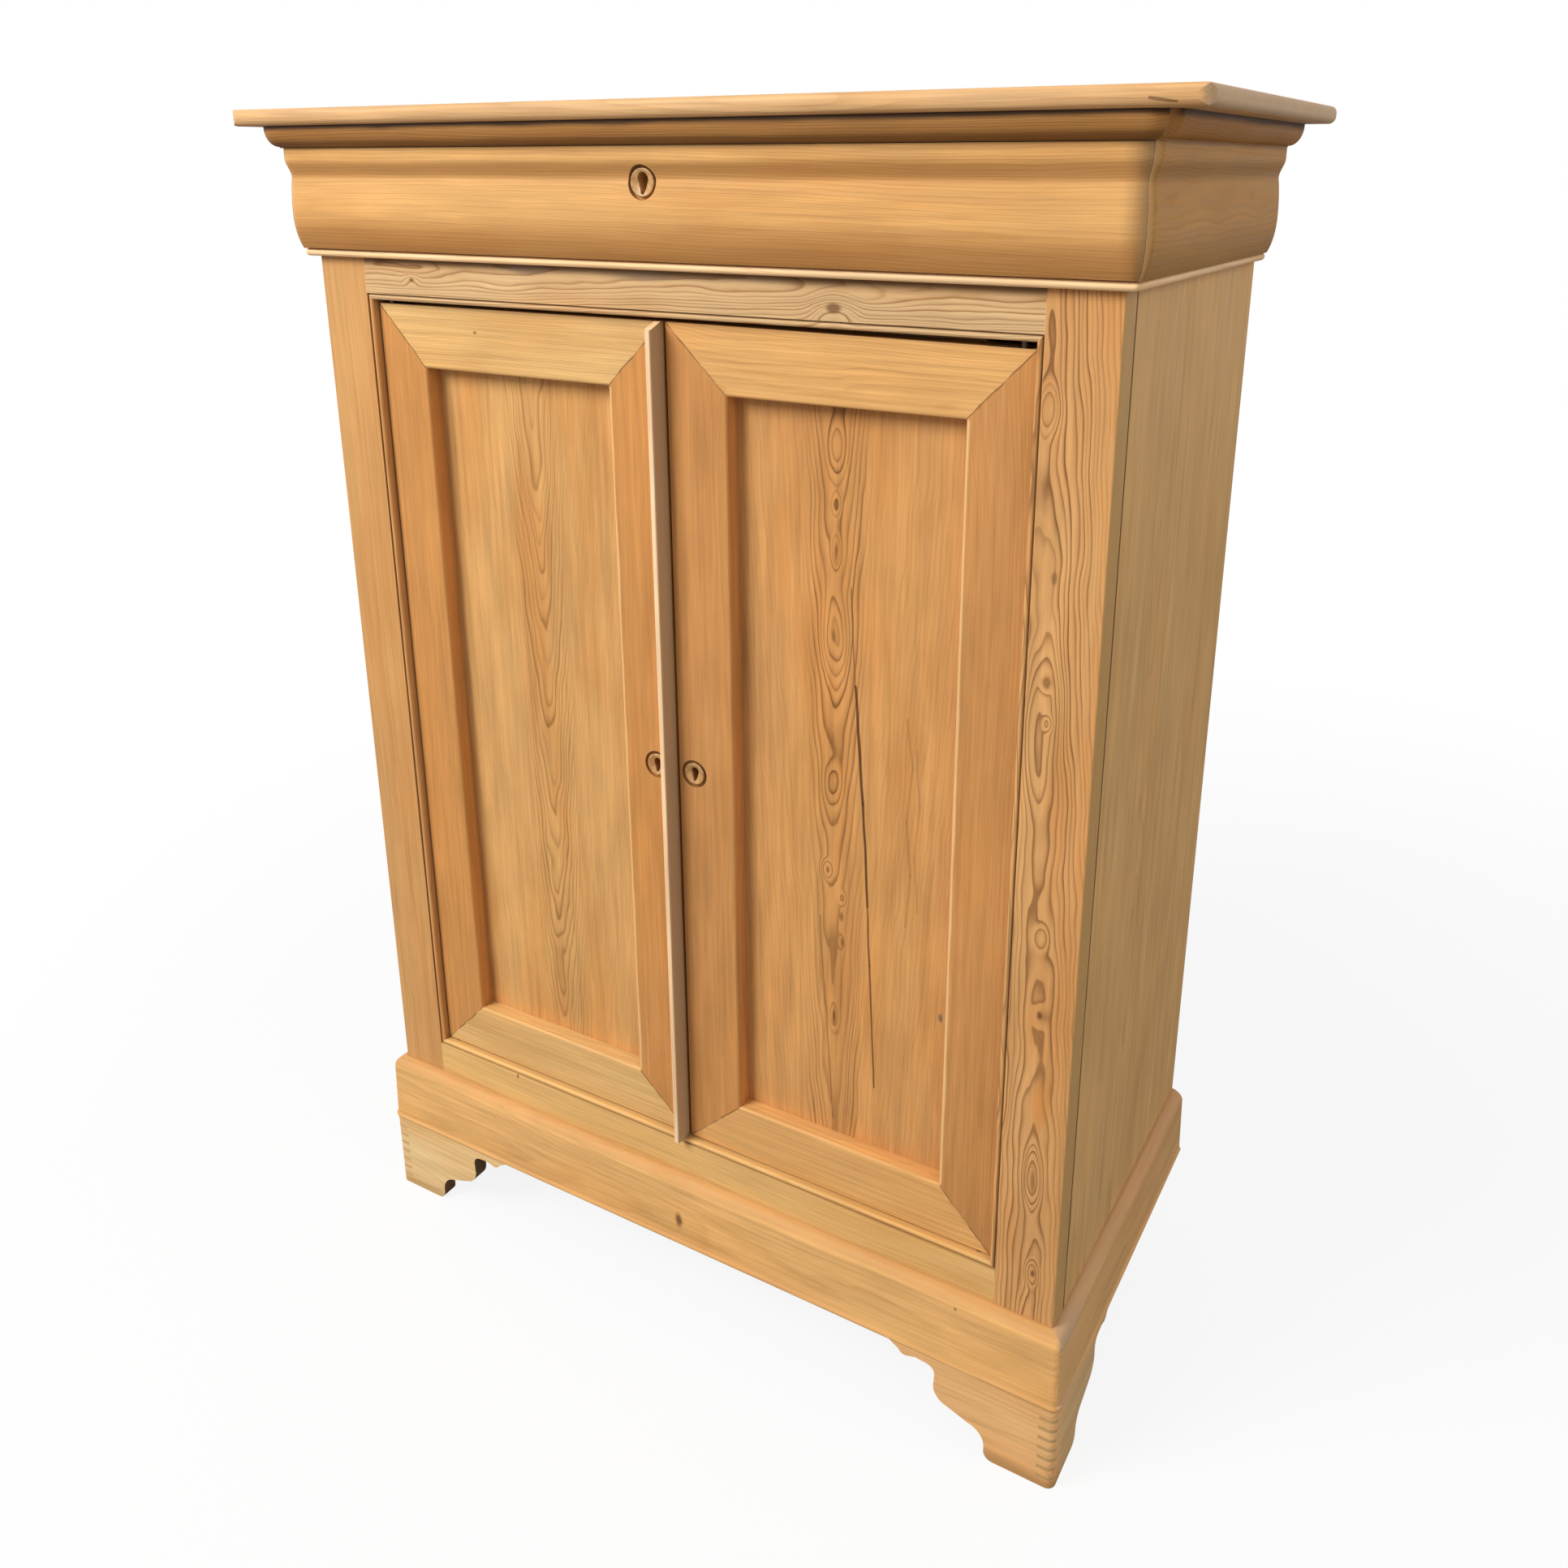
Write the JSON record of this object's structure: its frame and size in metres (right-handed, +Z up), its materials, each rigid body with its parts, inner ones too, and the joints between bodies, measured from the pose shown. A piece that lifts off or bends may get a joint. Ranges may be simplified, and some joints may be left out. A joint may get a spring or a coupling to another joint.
{
  "type": "cupboard",
  "caption": "Tall two-door cupboard with a swelling moulded cornice that hides a drawer, mitred door frames with flat panels, plinth band and scroll-cut bracket feet.",
  "frame": {"origin": "middle of the overall box, on the floor under the feet", "axes": "+Z up, -Y out of the front with the doors and drawer, +X to the right seen from the front"},
  "size_m": [1.053, 0.492, 1.402],
  "materials": {
    "top_pine": "waxed pine, worn edges",
    "moulding_pine": "waxed pine",
    "frame_pine": "waxed pine",
    "side_pine": "waxed pine, greyed",
    "raw_pine": "bare pine",
    "plinth_pine": "waxed pine",
    "foot_pine": "waxed pine",
    "drawer_pine": "waxed pine",
    "door_pine": "waxed pine, orange toned",
    "panel_pine": "waxed pine",
    "batten_pine": "waxed pine, worn edges",
    "ring_wood": "turned pale wood",
    "iron": "dull dark iron"
  },
  "bodies": {
    "carcass": {"top_board": "top_pine", "top_moulding_front": "moulding_pine", "top_moulding_left": "moulding_pine", "top_moulding_right": "moulding_pine", "cornice_left": "moulding_pine", "cornice_right": "moulding_pine", "bead_front": "moulding_pine", "bead_left": "moulding_pine", "bead_right": "moulding_pine", "stile_left": "frame_pine", "stile_right": "frame_pine", "frieze_rail": "frame_pine", "bottom_rail": "frame_pine", "side_left": "side_pine", "side_right": "side_pine", "back_post_left": "raw_pine", "back_post_right": "raw_pine", "back_rails": "raw_pine", "back_boards": "raw_pine", "floor_board": "raw_pine", "shelves": "raw_pine", "cleats": "raw_pine", "dust_board": "raw_pine", "drawer_runners": "raw_pine", "door_stops": "raw_pine", "plinth_front": "plinth_pine", "plinth_left": "plinth_pine", "plinth_right": "plinth_pine", "foot_front_left": "foot_pine", "foot_front_right": "foot_pine", "foot_side_left": "foot_pine", "foot_side_right": "foot_pine", "pivot_sockets": "iron"},
    "drawer": {"drawer_front": "drawer_pine", "drawer_side_left": "raw_pine", "drawer_side_right": "raw_pine", "drawer_back": "raw_pine", "drawer_bottom": "raw_pine", "drawer_escutcheon": "ring_wood", "drawer_lock": "iron"},
    "drawer_bolt": {"drawer_bolt": "iron"},
    "left_door": {"left_hinge_stile": "door_pine", "left_meeting_stile": "door_pine", "left_top_rail": "door_pine", "left_bottom_rail": "door_pine", "left_panel": "panel_pine", "meeting_batten": "batten_pine", "left_escutcheon": "ring_wood", "left_pivots": "iron", "slide_bolt_guide": "iron"},
    "left_bolt": {"slide_bolt": "iron"},
    "right_door": {"right_hinge_stile": "door_pine", "right_meeting_stile": "door_pine", "right_top_rail": "door_pine", "right_bottom_rail": "door_pine", "right_panel": "panel_pine", "right_escutcheon": "ring_wood", "right_pivots": "iron", "right_lock": "iron"},
    "right_bolt": {"right_bolt": "iron"}
  },
  "joints": [
    {"name": "drawer_slide", "type": "slide", "parent": "carcass", "child": "drawer", "axis": [0, -1, 0], "range_m": [0, 0.3]},
    {"name": "drawer_bolt_rise", "type": "slide", "parent": "drawer", "child": "drawer_bolt", "axis": [0, 0, 1], "range_m": [0, 0.01]},
    {"name": "left_door_turn", "type": "hinge", "parent": "carcass", "child": "left_door", "pos_m": [-0.3705, -0.1855, 0.726], "axis": [0, 0, -1], "range_deg": [0, 105]},
    {"name": "left_bolt_rise", "type": "slide", "parent": "left_door", "child": "left_bolt", "axis": [0, 0, 1], "range_m": [0, 0.014]},
    {"name": "right_door_turn", "type": "hinge", "parent": "carcass", "child": "right_door", "pos_m": [0.3705, -0.1855, 0.726], "axis": [0, 0, 1], "range_deg": [0, 105]},
    {"name": "right_bolt_throw", "type": "slide", "parent": "right_door", "child": "right_bolt", "axis": [-1, 0, 0], "range_m": [0, 0.011]}
  ]
}
